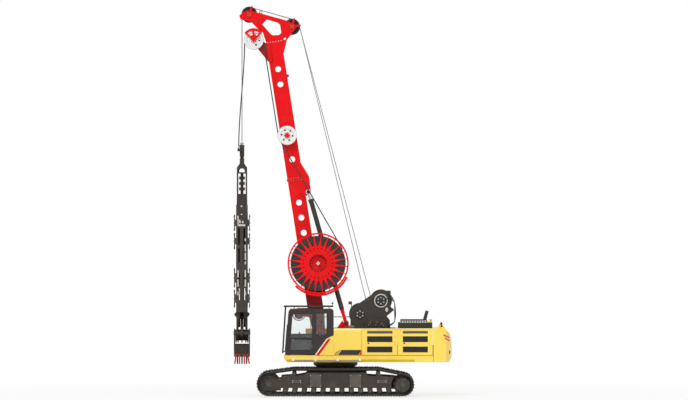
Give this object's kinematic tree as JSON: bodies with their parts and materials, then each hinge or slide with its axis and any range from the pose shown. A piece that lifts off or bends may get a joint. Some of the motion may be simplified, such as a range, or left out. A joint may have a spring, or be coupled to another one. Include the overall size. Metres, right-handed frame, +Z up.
{
  "type": "crawler diaphragm wall grab",
  "caption": "Crawler machine with a leaning box boom, a winch and a rope-hung hydraulic clamshell grab for digging diaphragm wall trenches.",
  "frame": {"origin": "middle of the machine's outline, on the ground under the tracks", "axes": "+Z up, front towards -X, the machine's left side with the cab towards -Y"},
  "size_m": [8.7109, 4.3, 15.5794],
  "materials": {
    "yellow_paint": "satin",
    "red_paint": "satin",
    "dark_red_paint": "satin",
    "dark_paint": "satin",
    "cab_paint": "satin",
    "track_steel": "rough",
    "bright_steel": "brushed",
    "rope_steel": "rough",
    "hose_rubber": "matte",
    "white_plastic": "satin",
    "glass": "clear",
    "seat_cloth": "matte"
  },
  "bodies": {
    "undercarriage": {"car_body": "dark_paint", "slew_ring": "dark_paint", "track_frames": "dark_paint", "tracks": "track_steel", "idlers": "track_steel", "sprockets": "track_steel", "bottom_rollers": "track_steel", "carrier_rollers": "track_steel"},
    "upper": {"deck_frame": "yellow_paint", "boom_foot_bracket": "dark_red_paint", "cab_shell": "cab_paint", "cab_glass": "glass", "cab_interior": "seat_cloth", "roof_guard": "dark_paint", "front_guard": "dark_paint", "side_panel_left": "yellow_paint", "side_panel_right": "yellow_paint", "top_cover": "yellow_paint", "engine": "dark_paint", "hood": "dark_paint", "counterweight": "yellow_paint", "lift_eyes": "yellow_paint", "winch_frame": "dark_paint", "handrails": "dark_paint"},
    "cab_door": {"door_frame": "cab_paint", "door_glass": "glass"},
    "left_front_door": {"side_door_left_front": "yellow_paint"},
    "left_rear_door": {"side_door_left_rear": "yellow_paint"},
    "right_door": {"side_door_right": "yellow_paint"},
    "front_drum": {"drum_front": "dark_paint"},
    "rear_drum": {"drum_rear": "dark_paint"},
    "boom": {"boom_lower": "red_paint", "boom_upper": "red_paint", "boom_head": "red_paint", "reel_cradle": "dark_red_paint", "wheel_brackets": "dark_red_paint", "boom_hoses": "hose_rubber", "boom_ropes": "rope_steel"},
    "reel": {"hose_reel": "red_paint", "reel_hose": "hose_rubber"},
    "mid_wheel": {"hose_wheel_mid": "white_plastic"},
    "top_wheel": {"hose_wheel_top": "white_plastic"},
    "front_sheaves": {"sheaves_front": "bright_steel"},
    "rear_sheaves": {"sheaves_rear": "bright_steel"},
    "luff_barrel": {"luff_barrels": "dark_paint"},
    "luff_rod": {"luff_rods": "bright_steel"},
    "hanger": {"hoist_ropes": "rope_steel", "hanging_hoses": "hose_rubber", "rope_block": "dark_paint"},
    "grab": {"grab_head": "dark_paint", "grab_frame": "dark_paint", "guide_plates": "dark_paint", "jaw_cylinder": "dark_paint"},
    "cross": {"crosshead": "dark_paint"},
    "near_link": {"link_near": "dark_paint"},
    "far_link": {"link_far": "dark_paint"},
    "near_jaw": {"jaw_near": "dark_paint", "teeth_near": "red_paint"},
    "far_jaw": {"jaw_far": "dark_paint", "teeth_far": "dark_paint"}
  },
  "joints": [
    {"name": "slew", "type": "hinge", "parent": "undercarriage", "child": "upper", "pos_m": [-0.3, 0, 1.364], "axis": [0, 0, 1], "continuous": true},
    {"name": "luff", "type": "hinge", "parent": "upper", "child": "boom", "pos_m": [-0.93, 0, 2.42], "axis": [0, -1, 0], "range_deg": [0, 10]},
    {"name": "luff_barrel_turn", "type": "hinge", "parent": "upper", "child": "luff_barrel", "pos_m": [0.12, 0, 2.88], "axis": [0, -1, 0], "range_deg": [0, 11]},
    {"name": "luff_rod_slide", "type": "slide", "parent": "luff_barrel", "child": "luff_rod", "axis": [-0.2743, 0, 0.9616], "range_m": [0, 0.22]},
    {"name": "cab_door_turn", "type": "hinge", "parent": "upper", "child": "cab_door", "pos_m": [-1.19, -1.512, 2.5], "axis": [0, 0, 1], "range_deg": [0, 160]},
    {"name": "left_front_door_turn", "type": "hinge", "parent": "upper", "child": "left_front_door", "pos_m": [2.163, -1.49, 2.15], "axis": [0, 0, 1], "range_deg": [0, 100]},
    {"name": "left_rear_door_turn", "type": "hinge", "parent": "upper", "child": "left_rear_door", "pos_m": [3.572, -1.49, 2.15], "axis": [0, 0, 1], "range_deg": [0, 100]},
    {"name": "right_door_turn", "type": "hinge", "parent": "upper", "child": "right_door", "pos_m": [3.572, 1.49, 2.15], "axis": [0, 0, -1], "range_deg": [0, 100]},
    {"name": "front_drum_turn", "type": "hinge", "parent": "upper", "child": "front_drum", "pos_m": [0.68, 0, 3.26], "axis": [0, 1, 0], "continuous": true},
    {"name": "rear_drum_turn", "type": "hinge", "parent": "upper", "child": "rear_drum", "pos_m": [1.516, 0, 3.8], "axis": [0, 1, 0], "continuous": true},
    {"name": "reel_turn", "type": "hinge", "parent": "boom", "child": "reel", "pos_m": [-0.99207, 0, 5.29198], "axis": [0, 1, 0], "continuous": true},
    {"name": "mid_wheel_turn", "type": "hinge", "parent": "boom", "child": "mid_wheel", "pos_m": [-2.23184, 0, 10.40372], "axis": [0, 1, 0], "continuous": true},
    {"name": "top_wheel_turn", "type": "hinge", "parent": "boom", "child": "top_wheel", "pos_m": [-3.56386, 0, 14.22363], "axis": [0, 1, 0], "continuous": true},
    {"name": "front_sheaves_turn", "type": "hinge", "parent": "boom", "child": "front_sheaves", "pos_m": [-3.74402, 0, 15.2319], "axis": [0, 1, 0], "continuous": true},
    {"name": "rear_sheaves_turn", "type": "hinge", "parent": "boom", "child": "rear_sheaves", "pos_m": [-2.03959, 0, 14.74776], "axis": [0, 1, 0], "continuous": true},
    {"name": "hang", "type": "hinge", "parent": "boom", "child": "hanger", "pos_m": [-4.04002, 0, 15.2319], "axis": [0, -1, 0], "range_deg": [-10.1, 0]},
    {"name": "swivel", "type": "hinge", "parent": "hanger", "child": "grab", "pos_m": [-4.04002, 0, 9.52], "axis": [0, 0, 1], "range_deg": [-90, 90]},
    {"name": "jaws_open", "type": "hinge", "parent": "grab", "child": "near_jaw", "pos_m": [-4.04002, -0.42, 2.56], "axis": [-1, 0, 0], "range_deg": [0, 40]},
    {"name": "far_jaw_turn", "type": "hinge", "parent": "grab", "child": "far_jaw", "pos_m": [-4.04002, 0.42, 2.56], "axis": [1, 0, 0], "range_deg": [0, 40.1]},
    {"name": "crosshead_slide", "type": "slide", "parent": "grab", "child": "cross", "axis": [0, 0, 1], "range_m": [0, 0.37]},
    {"name": "near_link_turn", "type": "hinge", "parent": "cross", "child": "near_link", "pos_m": [-4.04002, -0.17, 3.15], "axis": [1, 0, 0], "range_deg": [0, 4.5]},
    {"name": "far_link_turn", "type": "hinge", "parent": "cross", "child": "far_link", "pos_m": [-4.04002, 0.17, 3.15], "axis": [-1, 0, 0], "range_deg": [0, 4.5]}
  ],
  "couplings": [
    {"joint": "luff_barrel_turn", "follows": "luff", "ratio": 1.0127},
    {"joint": "luff_rod_slide", "follows": "luff", "m_per_rad": 1.1408},
    {"joint": "hang", "follows": "luff", "ratio": -1},
    {"joint": "far_jaw_turn", "follows": "jaws_open", "ratio": 1},
    {"joint": "crosshead_slide", "follows": "jaws_open", "m_per_rad": 0.52507},
    {"joint": "near_link_turn", "follows": "jaws_open", "ratio": 0.10835},
    {"joint": "far_link_turn", "follows": "jaws_open", "ratio": 0.10835}
  ]
}
